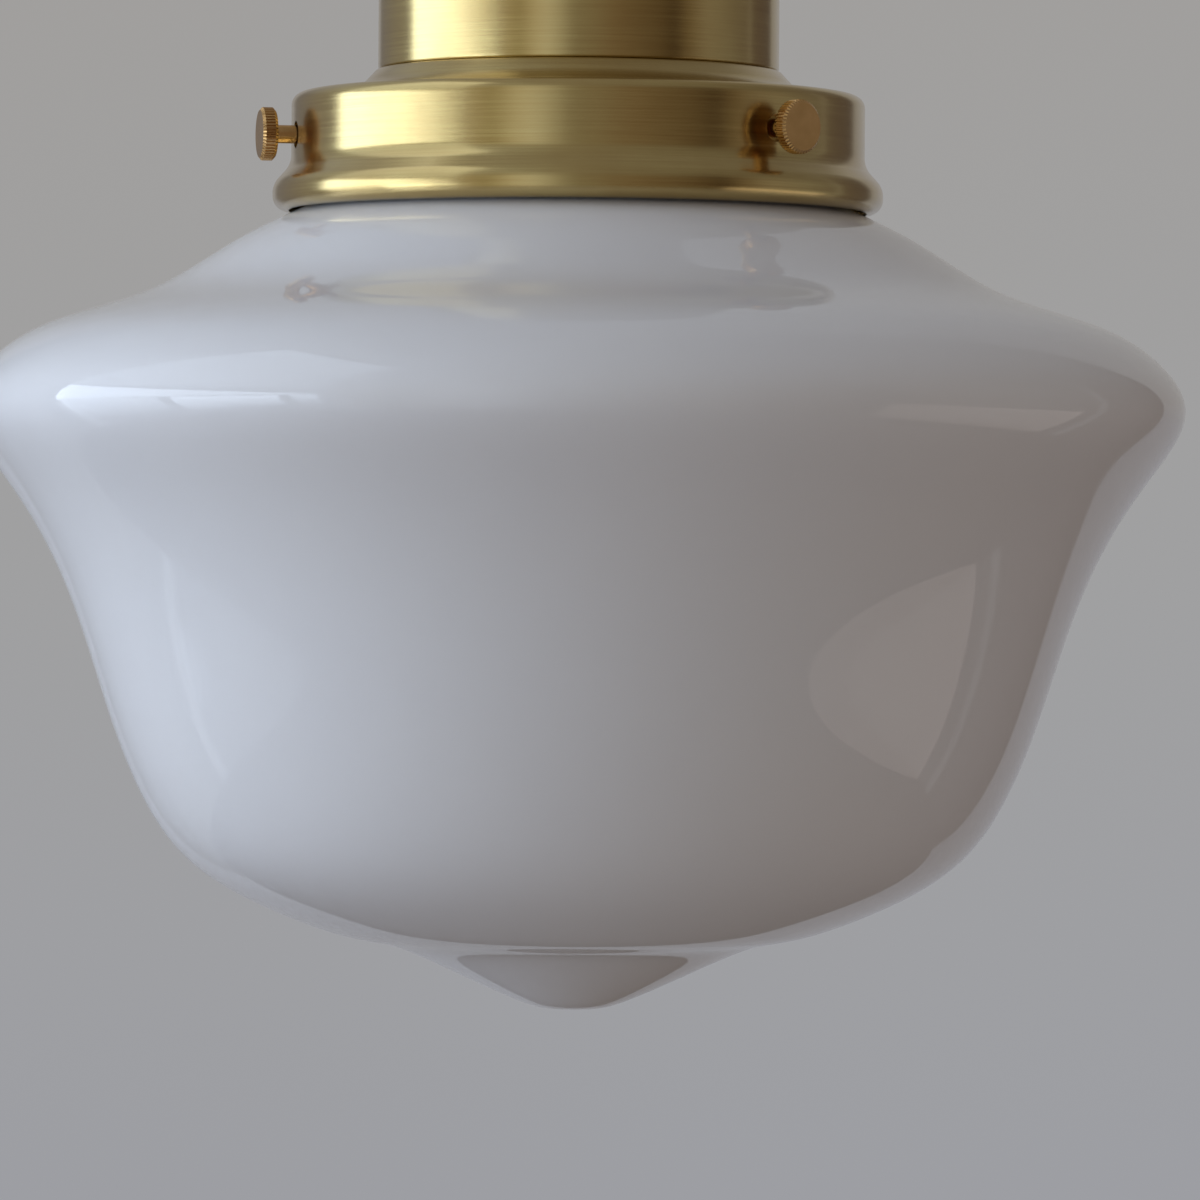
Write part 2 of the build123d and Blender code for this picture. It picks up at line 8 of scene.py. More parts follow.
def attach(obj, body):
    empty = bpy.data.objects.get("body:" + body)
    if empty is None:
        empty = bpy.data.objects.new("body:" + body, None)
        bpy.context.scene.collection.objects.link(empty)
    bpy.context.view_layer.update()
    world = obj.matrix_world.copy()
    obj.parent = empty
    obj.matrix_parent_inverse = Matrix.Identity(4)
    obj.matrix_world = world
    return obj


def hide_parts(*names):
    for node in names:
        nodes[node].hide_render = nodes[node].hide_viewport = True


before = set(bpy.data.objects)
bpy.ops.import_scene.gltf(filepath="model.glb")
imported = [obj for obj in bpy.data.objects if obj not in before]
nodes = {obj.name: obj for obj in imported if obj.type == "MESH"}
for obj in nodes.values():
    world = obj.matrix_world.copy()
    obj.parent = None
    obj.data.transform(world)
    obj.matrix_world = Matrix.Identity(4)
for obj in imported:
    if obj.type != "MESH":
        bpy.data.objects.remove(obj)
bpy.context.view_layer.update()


# Cup
# The cup hides the lampholder. It is drawn from brass sheet, flat on top with a rounded edge,
# brushed round and round to a satin and lacquered. The gland clamps it and the gallery closes it.

# Lengths are in millimetres, as on a drawing, and MM turns them into metres. Levels are measured
# down from the mouth of the cord gland, which is the top of the lamp. Points within close_by of a
# radius or a level are on it, and points within weld of each other become one.
MM = 0.001
close_by = 0.01
weld = 0.002


def turned(outline, steps, closed=True):
    """A bmesh made by spinning an outline of (radius, level) points round the lamp's axis."""
    bm = bmesh.new()
    corners = [bm.verts.new((radius * MM, 0, level * MM)) for radius, level in outline]
    ends = corners[1:] + corners[:1] if closed else corners[1:]
    lines = [bm.edges.new(pair) for pair in zip(corners, ends)]
    bmesh.ops.spin(
        bm,
        geom=corners + lines,
        cent=(0, 0, 0),
        axis=(0, 0, 1),
        angle=2 * pi,
        steps=steps,
        use_merge=True,
    )
    bmesh.ops.remove_doubles(bm, verts=bm.verts, dist=weld * MM)
    bmesh.ops.recalc_face_normals(bm, faces=bm.faces)
    return bm


def on_circle(vert, radius):
    """Whether a point lies on the cylinder of a radius round the lamp's axis."""
    return abs(vert.co.xy.length - radius * MM) < close_by * MM


def round_off(bm, radius, level, size, segments=6):
    """Rounds the edge that runs round the axis at a radius and a level."""
    ring = [
        edge
        for edge in bm.edges
        if all(on_circle(vert, radius) and abs(vert.co.z - level * MM) < close_by * MM for vert in edge.verts)
    ]
    bmesh.ops.bevel(
        bm, geom=ring, offset=size * MM, segments=segments, profile=0.5, affect="EDGES", material=-1
    )


def add_piece(name, bm, material, stands_for, body="root", sharp=35):
    """Makes a bmesh a piece that takes the place of its CAD nodes and moves with their body."""
    mesh = bpy.data.meshes.new(name)
    bm.to_mesh(mesh)
    bm.free()
    mesh.materials.append(material)
    mesh.shade_smooth()
    mesh.set_sharp_from_angle(angle=radians(sharp))
    piece = bpy.data.objects.new(name, mesh)
    bpy.context.scene.collection.objects.link(piece)
    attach(piece, body)
    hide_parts(*stands_for)
    return piece


def srgb(code):
    """The linear colour of an sRGB hex code."""
    shares = [int(code[place : place + 2], 16) / 255 for place in (1, 3, 5)]
    return (*[share / 12.92 if share <= 0.04045 else ((share + 0.055) / 1.055) ** 2.4 for share in shares], 1)


def add_node(tree, kind, settings={}, inputs={}):
    """Adds a node, with its settings, and with values or links into its inputs."""
    made = tree.nodes.new("ShaderNode" + kind)
    for name, value in settings.items():
        setattr(made, name, value)
    for key, value in inputs.items():
        if isinstance(value, bpy.types.NodeSocket):
            tree.links.new(value, made.inputs[key])
        else:
            made.inputs[key].default_value = value
    return made


def new_material(name):
    """An empty node material and its tree."""
    material = bpy.data.materials.new(name)
    material.use_nodes = True
    material.node_tree.nodes.clear()
    return material, material.node_tree


# Satin brass: a metal, turned and brushed along the circle, under clear lacquer. The brush marks
# spread each reflection up and down. They are near 0.05 mm wide, and drawn 0.3 mm wide to show.
# They change slowly along the circle, and the lacquer has yellowed in faint clouds.
brass_light = "#C6B175"
brass_dark = "#B59B61"
brush_mark = 0.3
brush_length = 25.0
mark_depth = 0.02
cloud_size = 18.0
satin_brass, tree = new_material("satin_brushed_brass")
place = add_node(tree, "TexCoord")
split = add_node(tree, "SeparateXYZ", inputs={0: place.outputs["Object"]})
flat_place = add_node(tree, "CombineXYZ", inputs={0: split.outputs[0], 1: split.outputs[1]})
reach = add_node(tree, "VectorMath", {"operation": "LENGTH"}, {0: flat_place.outputs[0]})
along = add_node(tree, "Math", {"operation": "SUBTRACT"}, {0: reach.outputs["Value"], 1: split.outputs[2]})
fine = add_node(tree, "Math", {"operation": "MULTIPLY"}, {0: along.outputs[0], 1: 1 / (brush_mark * MM)})
slow = add_node(
    tree,
    "VectorMath",
    {"operation": "SCALE"},
    {0: flat_place.outputs[0], "Scale": 1 / (brush_length * MM)},
)
slow_split = add_node(tree, "SeparateXYZ", inputs={0: slow.outputs[0]})
brushed_place = add_node(
    tree, "CombineXYZ", inputs={0: slow_split.outputs[0], 1: slow_split.outputs[1], 2: fine.outputs[0]}
)
brushing = add_node(
    tree,
    "TexNoise",
    inputs={"Vector": brushed_place.outputs[0], "Scale": 1.0, "Detail": 3.0, "Roughness": 0.7},
)
clouds = add_node(
    tree,
    "TexNoise",
    inputs={"Vector": place.outputs["Object"], "Scale": 1 / (cloud_size * MM), "Detail": 4.0},
)
blend = add_node(
    tree,
    "Math",
    {"operation": "MULTIPLY"},
    {0: clouds.outputs["Fac"], 1: brushing.outputs["Fac"]},
)
tint = add_node(
    tree,
    "MapRange",
    inputs={"Value": blend.outputs[0], "From Min": 0.15, "From Max": 0.4},
)
colour = add_node(
    tree,
    "Mix",
    {"data_type": "RGBA"},
    {"Factor": tint.outputs[0], "A": srgb(brass_dark), "B": srgb(brass_light)},
)
polish = add_node(
    tree,
    "MapRange",
    inputs={
        "Value": brushing.outputs["Fac"],
        "From Min": 0.3,
        "From Max": 0.7,
        "To Min": 0.20,
        "To Max": 0.27,
    },
)
marks = add_node(
    tree,
    "Bump",
    inputs={"Strength": 0.12, "Distance": mark_depth * MM, "Height": brushing.outputs["Fac"]},
)
circle = add_node(
    tree,
    "VectorMath",
    {"operation": "CROSS_PRODUCT"},
    {0: (0, 0, 1), 1: flat_place.outputs[0]},
)
metal = add_node(
    tree,
    "BsdfPrincipled",
    inputs={
        "Base Color": colour.outputs["Result"],
        "Metallic": 1.0,
        "Roughness": polish.outputs[0],
        "Anisotropic": 0.6,
        "Anisotropic Rotation": 0.25,
        "Tangent": circle.outputs[0],
        "Normal": marks.outputs[0],
        "Coat Weight": 0.6,
        "Coat Roughness": 0.18,
    },
)
add_node(tree, "OutputMaterial", inputs={"Surface": metal.outputs[0]})

# The two support rings near the wall's ends keep its shading upright beside the rounded edges.
cup_r = 33.0
cup_inner_r = 32.0
cup_top_z = -18.0
cup_roof_z = -19.0
cup_foot_z = -80.0
cup_hole_r = 5.05
cup_edge = 3.5
cup_inner_edge = 2.5
cup_rim_edge = 0.4
bm = turned(
    [
        (cup_hole_r, cup_top_z),
        (cup_r, cup_top_z),
        (cup_r, cup_top_z - cup_edge - 0.5),
        (cup_r, cup_foot_z + 2 * cup_rim_edge),
        (cup_r, cup_foot_z),
        (cup_inner_r, cup_foot_z),
        (cup_inner_r, cup_roof_z),
        (cup_hole_r, cup_roof_z),
    ],
    steps=192,
)
round_off(bm, cup_r, cup_top_z, cup_edge, 12)
round_off(bm, cup_inner_r, cup_roof_z, cup_inner_edge, 8)
round_off(bm, cup_r, cup_foot_z, cup_rim_edge, 4)
add_piece("satin_cup", bm, satin_brass, ["cup"])


# Cord gland
# The gland holds the cord where it enters the lamp. Its round nut, turned from brass bar with a
# knurled grip, squeezes a rubber seal into the body, whose flange clamps the cup from above.
tooth_steps = 4


def knurl(bm, radius, foot, top, teeth, depth):
    """Presses a straight knurl into a surface spun in tooth_steps a tooth, between two levels."""
    for vert in bm.verts:
        in_band = (foot - close_by) * MM < vert.co.z < (top + close_by) * MM
        step = round(atan2(vert.co.y, vert.co.x) / (2 * pi) * tooth_steps * teeth)
        if on_circle(vert, radius) and in_band and step % tooth_steps >= tooth_steps / 2:
            vert.co.xy *= 1 - depth / radius


cord_bore_r = 3.6
grip_r = 7.7
grip_top_z = -3.25
grip_foot_z = -8.8
grip_edge = 1.2
grip_teeth = 60
grip_tooth_depth = 0.22
groove_r = 7.45
groove_top_z = -2.4
gland_nut_r = 7.2
gland_nut_foot_z = -10.0
gland_nut_bore_r = 6.05
seal_top_z = -4.0
bm = turned(
    [
        (cord_bore_r, 0.0),
        (grip_r, 0.0),
        (grip_r, groove_top_z),
        (groove_r, groove_top_z - 0.25),
        (groove_r, grip_top_z + 0.25),
        (grip_r, grip_top_z),
        (grip_r, grip_foot_z),
        (gland_nut_r, grip_foot_z - 0.5),
        (gland_nut_r, gland_nut_foot_z),
        (gland_nut_bore_r, gland_nut_foot_z),
        (gland_nut_bore_r, seal_top_z),
        (cord_bore_r, seal_top_z),
    ],
    steps=tooth_steps * grip_teeth,
)
round_off(bm, grip_r, 0.0, grip_edge)
knurl(bm, grip_r, grip_foot_z, grip_top_z, grip_teeth, grip_tooth_depth)
add_piece("knurled_gland_nut", bm, satin_brass, ["gland_nut"], sharp=25)


def threaded(profile, pitch, top, foot, steps=60):
    """A screw thread's surface: a profile of (radius, share of the pitch) wound down and cut level."""
    start = (floor(top / pitch) + 2) * pitch
    turns = ceil((start - foot) / pitch) + 1
    bm = bmesh.new()
    corners = [bm.verts.new((radius * MM, 0, (start - share * pitch) * MM)) for radius, share in profile]
    lines = [bm.edges.new(pair) for pair in zip(corners, corners[1:])]
    bmesh.ops.spin(
        bm,
        geom=corners + lines,
        cent=(0, 0, 0),
        axis=(0, 0, 1),
        dvec=(0, 0, -pitch * MM / steps),
        angle=2 * pi,
        steps=steps,
    )
    one_turn = bm.verts[:] + bm.edges[:] + bm.faces[:]
    for turn in range(1, turns):
        copied = bmesh.ops.duplicate(bm, geom=one_turn)["geom"]
        moved = [vert for vert in copied if isinstance(vert, bmesh.types.BMVert)]
        bmesh.ops.translate(bm, verts=moved, vec=(0, 0, -turn * pitch * MM))
    bmesh.ops.remove_doubles(bm, verts=bm.verts, dist=weld * MM)
    for level, above in ((top, True), (foot, False)):
        bmesh.ops.bisect_plane(
            bm,
            geom=bm.verts[:] + bm.edges[:] + bm.faces[:],
            plane_co=(0, 0, level * MM),
            plane_no=(0, 0, 1),
            clear_outer=above,
            clear_inner=not above,
        )
    return bm


def carry_on(bm, level, outline):
    """Carries the open edge at a level on along an outline of (radius, level) points."""
    for radius, next_level in outline:
        open_edge = [
            edge
            for edge in bm.edges
            if edge.is_boundary and all(abs(vert.co.z - level * MM) < close_by * MM for vert in edge.verts)
        ]
        for made in bmesh.ops.extrude_edge_only(bm, edges=open_edge)["geom"]:
            if isinstance(made, bmesh.types.BMVert):
                made.co.xy *= radius * MM / made.co.xy.length
                made.co.z = next_level * MM
        level = next_level


def close_bore(bm):
    """Joins the two open edges that are left, and points every face outwards."""
    bmesh.ops.bridge_loops(bm, edges=[edge for edge in bm.edges if edge.is_boundary])
    bmesh.ops.recalc_face_normals(bm, faces=bm.faces)


def cut_thread(crest, depth):
    """The profile of a cut thread, sharp, with a small flat on crest and root."""
    root = crest - depth
    return [(root, 0.0), (root, 0.08), (crest, 0.44), (crest, 0.56), (root, 0.92), (root, 1.0)]


gland_crest_r = 6.0
gland_thread_depth = 0.5
gland_pitch = 1.0
gland_thread_top_z = -4.6
gland_thread_foot_z = -9.8
gland_mouth_z = -4.3
seal_pocket_r = 4.95
seal_pocket_z = -8.6
nipple_bore_r = 5.0
nipple_stop_z = -10.0
gland_body_r = 7.0
gland_body_top_z = -10.3
flange_r = 9.5
flange_top_z = -15.5
bm = threaded(
    cut_thread(gland_crest_r, gland_thread_depth), gland_pitch, gland_thread_top_z, gland_thread_foot_z
)
carry_on(
    bm,
    gland_thread_top_z,
    [
        (gland_crest_r - 0.6, gland_mouth_z),
        (seal_pocket_r, gland_mouth_z),
        (seal_pocket_r, seal_pocket_z),
        (cord_bore_r, seal_pocket_z),
        (cord_bore_r, nipple_stop_z),
        (nipple_bore_r, nipple_stop_z),
    ],
)
carry_on(
    bm,
    gland_thread_foot_z,
    [
        (gland_crest_r - 0.5, gland_body_top_z),
        (gland_body_r - 0.4, gland_body_top_z),
        (gland_body_r, gland_body_top_z - 0.4),
        (gland_body_r, flange_top_z + 0.3),
        (gland_body_r + 0.3, flange_top_z),
        (flange_r - 0.6, flange_top_z),
        (flange_r, flange_top_z - 0.6),
        (flange_r, cup_top_z),
        (nipple_bore_r, cup_top_z),
    ],
)
close_bore(bm)
add_piece("gland_body_and_flange", bm, satin_brass, ["gland_body"], sharp=30)


def mottled(name, colours, grain, gloss, relief, **shader):
    """A material whose colour, gloss and relief vary together over grains of a size in millimetres."""
    material, tree = new_material(name)
    place = add_node(tree, "TexCoord")
    grains = add_node(
        tree,
        "TexNoise",
        inputs={"Vector": place.outputs["Object"], "Scale": 1 / (grain * MM), "Detail": 5.0},
    )
    fine = add_node(
        tree,
        "TexNoise",
        inputs={"Vector": place.outputs["Object"], "Scale": 6 / (grain * MM), "Detail": 2.0},
    )
    spread = add_node(
        tree, "MapRange", inputs={"Value": grains.outputs["Fac"], "From Min": 0.3, "From Max": 0.7}
    )
    colour = add_node(
        tree,
        "Mix",
        {"data_type": "RGBA"},
        {"Factor": spread.outputs[0], "A": srgb(colours[0]), "B": srgb(colours[1])},
    )
    polish = add_node(
        tree, "MapRange", inputs={"Value": spread.outputs[0], "To Min": gloss[0], "To Max": gloss[1]}
    )
    marks = add_node(
        tree, "Bump", inputs={"Strength": 0.4, "Distance": relief * MM, "Height": fine.outputs["Fac"]}
    )
    surface = add_node(
        tree,
        "BsdfPrincipled",
        inputs={
            "Base Color": colour.outputs["Result"],
            "Roughness": polish.outputs[0],
            "Normal": marks.outputs[0],
            **{key.replace("_", " "): value for key, value in shader.items()},
        },
    )
    add_node(tree, "OutputMaterial", inputs={"Surface": surface.outputs[0]})
    return material


def finish_node(name, material):
    """Gives a carried-over CAD node its material."""
    for place in nodes[name].material_slots:
        place.material = material


# Black rubber: moulded in a blasted tool, so it is matt with a fine grain and a greyish bloom.
black_rubber = mottled("moulded_black_rubber", ("#1A1A1B", "#27272A"), 1.2, (0.62, 0.8), 0.03)
finish_node("gland_seal", black_rubber)


# Nipple and its nut
# A length of zinc-plated M10 tube carries everything. Under the cup's top it holds a toothed lock
# washer and the earth tag, pulled up by a hexagon nut, and its lower end screws into the cap.

# Zinc plate: bright zinc on rolled or turned steel, passivated, so it is a bluish grey with cloudy
# crystals and a soft shine.
zinc_steel = mottled(
    "zinc_plated_steel", ("#A9ADB3", "#C4C8CC"), 1.5, (0.26, 0.42), 0.01, Metallic=1.0
)
nipple_crest_r = 4.95
nipple_thread_depth = 0.45
nipple_pitch = 1.0
nipple_mouth_r = 4.45
nipple_passage_r = 3.7
nipple_top_z = -10.5
nipple_foot_z = -49.2
nipple_thread_top_z = nipple_top_z - 0.5
nipple_thread_foot_z = nipple_foot_z + 0.5
bm = threaded(
    cut_thread(nipple_crest_r, nipple_thread_depth),
    nipple_pitch,
    nipple_thread_top_z,
    nipple_thread_foot_z,
    steps=48,
)
for thread_end_z, end_z in ((nipple_thread_top_z, nipple_top_z), (nipple_thread_foot_z, nipple_foot_z)):
    carry_on(bm, thread_end_z, [(nipple_mouth_r, end_z), (nipple_passage_r, end_z)])
close_bore(bm)
add_piece("threaded_nipple", bm, zinc_steel, ["nipple"], sharp=30)

# The nut is cut from hexagon bar. Its corners are turned off on both faces, and its bore opens
# in a small chamfer.
flats = 14.0
nut_top_z = -20.5
nut_foot_z = -24.5
nut_corner_r = flats / 2 / cos(pi / 6) - 0.03
nut_face_r = flats / 2 - 0.3
nut_corner_drop = 0.75
nut_chamfer = 0.5
bm = turned(
    [
        (nipple_bore_r, nut_top_z - nut_chamfer),
        (nipple_bore_r + nut_chamfer, nut_top_z),
        (nut_face_r, nut_top_z),
        (nut_corner_r, nut_top_z - nut_corner_drop),
        (nut_corner_r, nut_foot_z + nut_corner_drop),
        (nut_face_r, nut_foot_z),
        (nipple_bore_r + nut_chamfer, nut_foot_z),
        (nipple_bore_r, nut_foot_z + nut_chamfer),
    ],
    steps=96,
)
for side in range(6):
    facing = Vector((cos(pi / 3 * side + pi / 6), sin(pi / 3 * side + pi / 6), 0))
    bmesh.ops.bisect_plane(
        bm,
        geom=bm.verts[:] + bm.edges[:] + bm.faces[:],
        plane_co=facing * flats / 2 * MM,
        plane_no=facing,
        clear_outer=True,
    )
    bmesh.ops.edgeloop_fill(bm, edges=[edge for edge in bm.edges if edge.is_boundary])
bmesh.ops.recalc_face_normals(bm, faces=bm.faces)
add_piece("chamfered_hex_nut", bm, zinc_steel, ["hex_nut"], sharp=20)
for name in ("lock_washer", "earth_tag", "cap_lock_screw"):
    finish_node(name, zinc_steel)


# Lampholder
# A two-part E27 holder pressed from black phenolic. The ribbed cap screws on the nipple and is
# locked by a grub screw. A porcelain insert carries the live parts, and the barrel screws on over it.

# Phenolic: black resin pressed in a polished steel mould, so it has a deep gloss, with faint
# brown clouds from the wood flour in it.
phenolic = mottled(
    "pressed_black_phenolic",
    ("#141110", "#241C18"),
    4.0,
    (0.2, 0.34),
    0.01,
    Coat_Weight=0.5,
    Coat_Roughness=0.12,
)
collar_r = 8.2
collar_top_z = -41.7
cap_r = 20.5
cap_top_z = -48.7
cap_foot_z = -63.7
cap_edge = 7.0
cap_room_r = 18.5
cap_room_top_z = -50.7
cap_room_edge = 5.0
insert_seat_z = -62.7
spigot_r = 18.25
spigot_inner_r = 16.65
spigot_foot_z = -68.7
cap_ribs = 48
rib_depth = 0.35
rib_top_z = -56.4
rib_foot_z = -62.4
bm = turned(
    [
        (nipple_bore_r, collar_top_z),
        (collar_r - 0.6, collar_top_z),
        (collar_r, collar_top_z - 0.6),
        (collar_r, cap_top_z + 0.5),
        (collar_r + 0.5, cap_top_z),
        (cap_r, cap_top_z),
        (cap_r, rib_top_z),
        (cap_r, rib_foot_z),
        (cap_r, rib_foot_z - 0.6),
        (cap_r - 0.4, rib_foot_z - 1.0),
        (spigot_r, cap_foot_z),
        (spigot_r, spigot_foot_z),
        (spigot_inner_r, spigot_foot_z),
        (spigot_inner_r, cap_foot_z),
        (cap_room_r, insert_seat_z),
        (cap_room_r, cap_room_top_z),
        (nipple_bore_r, cap_room_top_z),
    ],
    steps=tooth_steps * cap_ribs,
)
round_off(bm, cap_r, cap_top_z, cap_edge, 12)
round_off(bm, cap_room_r, cap_room_top_z, cap_room_edge, 8)
knurl(bm, cap_r, rib_foot_z, rib_top_z, cap_ribs, rib_depth)
add_piece("ribbed_holder_cap", bm, phenolic, ["holder_cap"], sharp=30)


def knuckle_thread(crest, depth):
    """The profile of a rounded lamp thread, rolled in sheet or pressed."""
    return [(crest - depth / 2 * (1 + cos(2 * pi * part / 12)), part / 12) for part in range(13)]


# The barrel is threaded outside for the shade ring. It passes through the gallery's plate.
barrel_crest_r = 19.6
barrel_thread_depth = 0.7
barrel_pitch = 2.5
barrel_thread_top_z = -73.5
barrel_thread_foot_z = -97.5
barrel_collar_foot_z = -71.7
barrel_socket_r = 18.3
barrel_bore_r = 17.4
barrel_step_z = -70.7
barrel_floor_z = -98.1
barrel_foot_z = -99.7
barrel_mouth_r = 14.5
bm = threaded(
    knuckle_thread(barrel_crest_r, barrel_thread_depth),
    barrel_pitch,
    barrel_thread_top_z,
    barrel_thread_foot_z,
)
carry_on(
    bm,
    barrel_thread_top_z,
    [
        (barrel_crest_r, barrel_thread_top_z + 0.5),
        (barrel_crest_r, barrel_collar_foot_z),
        (cap_r - 0.3, barrel_collar_foot_z),
        (cap_r, barrel_collar_foot_z + 0.3),
        (cap_r, cap_foot_z - 0.3),
        (cap_r - 0.3, cap_foot_z),
        (barrel_socket_r, cap_foot_z),
        (barrel_socket_r, barrel_step_z),
    ],
)
carry_on(
    bm,
    barrel_thread_foot_z,
    [
        (barrel_crest_r - 0.2, barrel_thread_foot_z - 0.5),
        (barrel_crest_r - 0.2, barrel_foot_z + 0.5),
        (barrel_crest_r - 0.7, barrel_foot_z),
        (barrel_mouth_r + 0.3, barrel_foot_z),
        (barrel_mouth_r, barrel_foot_z + 0.3),
        (barrel_mouth_r, barrel_floor_z),
        (barrel_bore_r, barrel_floor_z),
    ],
)
carry_on(bm, barrel_floor_z, [(barrel_bore_r, barrel_step_z)])
close_bore(bm)
add_piece("threaded_holder_barrel", bm, phenolic, ["holder_barrel"], sharp=40)

# Porcelain: slip-pressed and fired with a clear glaze, so it is a warm white with a wet gloss and
# pinhead specks.
porcelain = mottled(
    "glazed_porcelain",
    ("#E4DFD4", "#F1EEE6"),
    0.8,
    (0.14, 0.3),
    0.015,
    Coat_Weight=0.6,
    Coat_Roughness=0.05,
)
finish_node("holder_insert", porcelain)

# Plain brass: turned or stamped and left bare, so it is dull yellow with brown tarnish in patches.
plain_brass = mottled("bare_stamped_brass", ("#9C7B42", "#CBA868"), 2.0, (0.25, 0.48), 0.01, Metallic=1.0)
for name in ("terminal_screws", "centre_contact"):
    finish_node(name, plain_brass)


def thicken(bm, wall):
    """Gives an open sheet its wall, inwards from the surface that was drawn."""
    bmesh.ops.recalc_face_normals(bm, faces=bm.faces)
    bmesh.ops.solidify(bm, geom=bm.faces, thickness=wall * MM)
    bmesh.ops.recalc_face_normals(bm, faces=bm.faces)


# Nickel plate: thin nickel on rolled brass sheet, so it is a warm silver with soft roller streaks.
nickel = mottled("nickel_plated_sheet", ("#BDB6AA", "#DAD5CB"), 3.0, (0.18, 0.34), 0.008, Metallic=1.0)
lamp_pitch = 3.62
lamp_sheet = 0.35
shell_crest_r = 14.0
shell_thread_depth = 0.6
shell_thread_top_z = -74.6
shell_thread_foot_z = -92.6
shell_top_z = -72.7
shell_foot_z = -93.7
shell_hole_r = 7.0
bm = threaded(
    knuckle_thread(shell_crest_r, shell_thread_depth), lamp_pitch, shell_thread_top_z, shell_thread_foot_z
)
carry_on(
    bm,
    shell_thread_top_z,
    [
        (shell_crest_r - 0.2, shell_top_z - 0.8),
        (shell_crest_r - 0.5, shell_top_z - 0.2),
        (shell_crest_r - 0.8, shell_top_z),
        (shell_hole_r, shell_top_z),
    ],
)
carry_on(bm, shell_thread_foot_z, [(shell_crest_r, shell_foot_z + 0.5), (shell_crest_r, shell_foot_z)])
thicken(bm, lamp_sheet)
add_piece("rolled_screw_shell", bm, nickel, ["screw_shell"], sharp=50)

# The shade ring screws up the barrel and clamps the gallery. Sixteen finger notches give a grip.
notches = 16
notch_steps = 8
notch_depth = 1.6
notch_start = 0.35
notch_curve = 0.6
ring_bore_r = 19.65
ring_r = 28.5
ring_top_z = -80.8
ring_flange_foot_z = -82.4
ring_collar_r = 23.0
ring_foot_z = -86.8
bm = turned(
    [
        (ring_bore_r, ring_top_z),
        (ring_r - 0.6, ring_top_z),
        (ring_r, ring_top_z - 0.4),
        (ring_r, ring_flange_foot_z + 0.4),
        (ring_r - 0.6, ring_flange_foot_z),
        (ring_collar_r + 0.4, ring_flange_foot_z),
        (ring_collar_r, ring_flange_foot_z - 0.4),
        (ring_collar_r, ring_foot_z + 0.4),
        (ring_collar_r - 0.4, ring_foot_z),
        (ring_bore_r + 0.45, ring_foot_z),
        (ring_bore_r, ring_foot_z + 0.4),
    ],
    steps=notch_steps * notches,
)
for vert in bm.verts:
    if vert.co.xy.length > (ring_r - 1.0) * MM:
        lobe = (cos(notches * atan2(vert.co.y, vert.co.x)) - notch_start) / (1 - notch_start)
        vert.co.xy *= 1 - notch_depth / ring_r * max(0.0, lobe) ** notch_curve
add_piece("notched_shade_ring", bm, phenolic, ["shade_ring"], sharp=35)


# Gallery
# The gallery carries the glass. It is spun from one brass sheet: a step under the cup, a shoulder,
# a straight wall with three holes for the screws, a flare and a rolled lip.

# Each corner of the sheet's line: its radius and level, and the size and fineness of its bend.
# The corners without a bend end the sheet, or keep the wall's shading upright beside its bends.
gallery_sheet = 0.8
gallery_hole_r = 20.1
step_r = 33.25
step_foot_r = 36.9
shoulder_z = cup_foot_z - 4.0
gallery_wall_r = 47.2
lip_r = 50.25
lip_z = -103.3
lip_mouth_r = 47.6
gallery_line = [
    (gallery_hole_r, cup_foot_z, 0, 0),
    (step_r, cup_foot_z, 0.45, 4),
    (step_foot_r, shoulder_z, 2.9, 10),
    (gallery_wall_r, shoulder_z, 2.0, 10),
    (gallery_wall_r, shoulder_z - 2.3, 0, 0),
    (gallery_wall_r, lip_z + 9.3, 0, 0),
    (gallery_wall_r, lip_z + 7.6, 1.4, 8),
    (lip_r, lip_z + 4.2, 1.2, 8),
    (lip_r, lip_z, 2.3, 12),
    (lip_mouth_r, lip_z, 0, 0),
]
bm = turned([corner[:2] for corner in gallery_line], steps=256, closed=False)
for radius, level, bend, segments in gallery_line:
    if bend:
        round_off(bm, radius, level, bend, segments)
thicken(bm, gallery_sheet)
gallery = add_piece("spun_gallery", bm, satin_brass, ["gallery"])

# Each screw passes through a drilled hole in the wall, wider than its shank.
screw_angles = [72.5, 192.5, 312.5]
screw_z = -91.3
wall_hole_r = 2.2
drill_length = 4.0
bm = bmesh.new()
for angle in screw_angles:
    at_wall = Matrix.Translation((gallery_wall_r * MM, 0, screw_z * MM))
    bmesh.ops.create_cone(
        bm,
        cap_ends=True,
        segments=64,
        radius1=wall_hole_r * MM,
        radius2=wall_hole_r * MM,
        depth=drill_length * MM,
        matrix=Matrix.Rotation(radians(angle), 4, "Z") @ at_wall @ Matrix.Rotation(radians(90), 4, "Y"),
    )
drill_mesh = bpy.data.meshes.new("drill")
bm.to_mesh(drill_mesh)
bm.free()
drill = bpy.data.objects.new("drill", drill_mesh)
bpy.context.scene.collection.objects.link(drill)
drilling = gallery.modifiers.new("drilling", "BOOLEAN")
drilling.operation = "DIFFERENCE"
drilling.solver = "EXACT"
drilling.object = drill
drilled = bpy.data.meshes.new_from_object(gallery.evaluated_get(bpy.context.evaluated_depsgraph_get()))
gallery.modifiers.clear()
gallery.data = drilled
drilled.set_sharp_from_angle(angle=radians(35))
bpy.data.objects.remove(drill)


# Thumbscrews
# Three turned brass screws hold the glass by its neck. Each has a straight-knurled head with
# chamfered edges and a flat face, and a shank that goes through the wall into its tapped nut.

